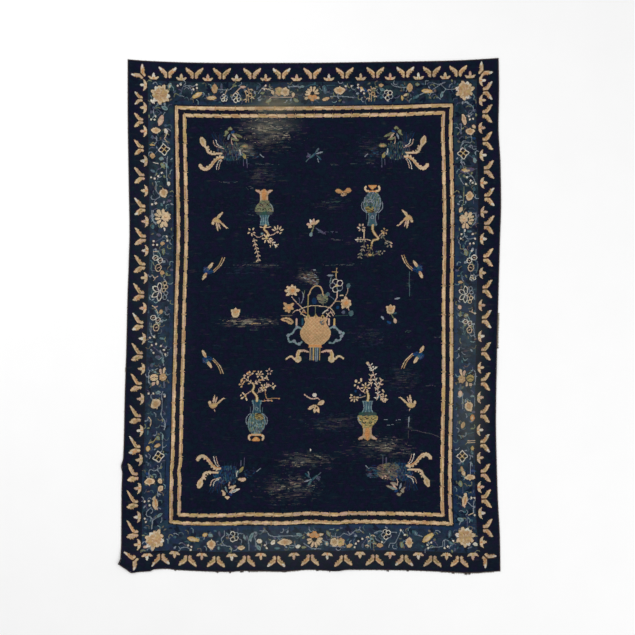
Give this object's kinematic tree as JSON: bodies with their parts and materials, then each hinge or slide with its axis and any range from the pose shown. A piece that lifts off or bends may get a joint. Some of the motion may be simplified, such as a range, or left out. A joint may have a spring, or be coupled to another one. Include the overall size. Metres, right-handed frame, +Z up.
{
  "type": "chinese art deco rug",
  "caption": "Worn hand-knotted navy wool carpet lying flat, with slightly uneven edges, a curled corner and dark overcast cords on all four sides.",
  "frame": {"origin": "middle of the carpet's bounding box, on the floor under its back", "axes": "+Z up out of the pile, +Y along the length towards the picture's upper end, +X across to the picture's right"},
  "size_m": [2.722, 3.66, 0.0223],
  "materials": {
    "pile": "short cut wool pile, dyed navy and mid blue with tan and ivory motifs, worn in places",
    "overcast": "dark brown-black yarn wrapped closely over the edge"
  },
  "bodies": {
    "root": {"pile_carpet": "pile", "selvedge_left": "overcast", "selvedge_right": "overcast", "end_finish_bottom": "overcast", "end_finish_top": "overcast"}
  },
  "joints": []
}
